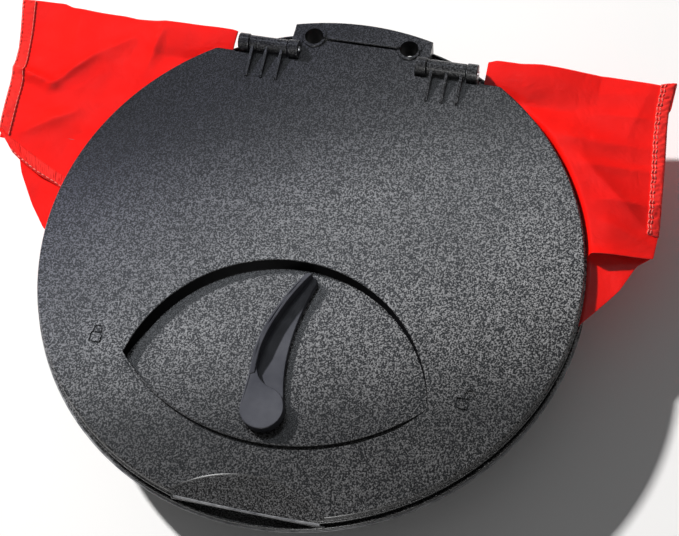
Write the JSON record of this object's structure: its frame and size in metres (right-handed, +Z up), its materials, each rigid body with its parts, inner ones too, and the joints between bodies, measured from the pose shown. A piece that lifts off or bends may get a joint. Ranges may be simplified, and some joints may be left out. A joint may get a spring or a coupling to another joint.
{
  "type": "ice fishing tip-up",
  "caption": "Round insulated hole cover for ice fishing with a hinged pop-up lid, a red flag clamped under it, a rotary lock lever and a fold-out spool arm.",
  "frame": {"origin": "on the plane that the closed cover stands on (the lower edge of the skirt ring), under the middle of the round cover", "axes": "+Z up out of the lid, +Y towards the lid's hinge, +X along the hinge pins, to the right when the lever's side is nearest"},
  "size_m": [0.4, 0.304, 0.0531],
  "materials": {
    "black_abs": "moulded ABS with a pebbled leather grain, charcoal black",
    "lever_abs": "smoother satin moulded ABS, bluish charcoal",
    "spool_abs": "satin moulded plastic, black",
    "red_nylon": "woven flag nylon, saturated red, hemmed and stitched",
    "foam": "closed-cell insulation foam, dark grey",
    "rubber": "moulded rubber",
    "steel": "stainless steel",
    "spring_steel": "drawn spring steel wire",
    "aluminium": "drawn and lightly brushed aluminium tube"
  },
  "bodies": {
    "base": {"base_plate": "black_abs", "base_rear_lug": "black_abs", "insulation_foam": "foam", "latch_keeper": "steel", "keeper_screw_left": "steel", "keeper_screw_right": "steel", "hinge_pin_left": "steel", "hinge_pin_right": "steel", "lid_spring_left": "spring_steel", "lid_spring_right": "spring_steel", "spring_pin_left": "steel", "spring_pin_right": "steel", "rubber_bumper_1": "rubber", "rubber_bumper_2": "rubber", "rubber_bumper_3": "rubber", "rubber_bumper_4": "rubber", "stem_bracket": "black_abs", "bracket_screw_1": "steel", "bracket_screw_2": "steel", "bracket_screw_3": "steel", "bracket_screw_4": "steel", "stem_pin_left": "steel", "stem_pin_right": "steel", "trigger_screw": "steel"},
    "lid": {"lid_cover": "black_abs", "lid_rear_lip": "black_abs", "flag_cloth": "red_nylon", "flag_stay_rod": "spring_steel", "flag_clamp_left": "black_abs", "flag_clamp_right": "black_abs", "clamp_screw_1": "steel", "clamp_screw_2": "steel", "clamp_screw_3": "steel", "clamp_screw_4": "steel", "lid_catch": "steel", "catch_screw": "steel"},
    "lever": {"lock_lever": "lever_abs", "latch_cam": "steel", "lever_washer": "steel", "cam_screw": "steel"},
    "spool_arm": {"stem_block": "black_abs", "stem_tube": "aluminium", "spool_bracket": "black_abs", "spool_axle": "steel", "spool_nut": "spool_abs"},
    "trip_shaft": {"trip_shaft": "spring_steel"},
    "spool": {"spool": "spool_abs"},
    "trigger": {"trigger": "steel"}
  },
  "joints": [
    {"name": "lid_hinge", "type": "hinge", "parent": "base", "child": "lid", "pos_m": [0, 0.1275, 0.0482], "axis": [-1, 0, 0], "range_deg": [0, 105]},
    {"name": "lock_turn", "type": "hinge", "parent": "lid", "child": "lever", "pos_m": [-0.0022, -0.0923, 0.0433], "axis": [0, 0, 1], "range_deg": [-63, 77]},
    {"name": "arm_fold", "type": "hinge", "parent": "base", "child": "spool_arm", "pos_m": [0, 0.066, 0.014], "axis": [1, 0, 0], "range_deg": [0, 90]},
    {"name": "spool_spin", "type": "hinge", "parent": "spool_arm", "child": "spool", "pos_m": [0, -0.062, 0.014], "axis": [0, 0, 1], "continuous": true},
    {"name": "trip_turn", "type": "hinge", "parent": "spool_arm", "child": "trip_shaft", "pos_m": [0, 0.03, 0.014], "axis": [0, 1, 0], "range_deg": [-22, 32]},
    {"name": "trigger_turn", "type": "hinge", "parent": "base", "child": "trigger", "pos_m": [0.024, 0.04, 0.0354], "axis": [0, 0, 1], "range_deg": [-18, 0]}
  ]
}
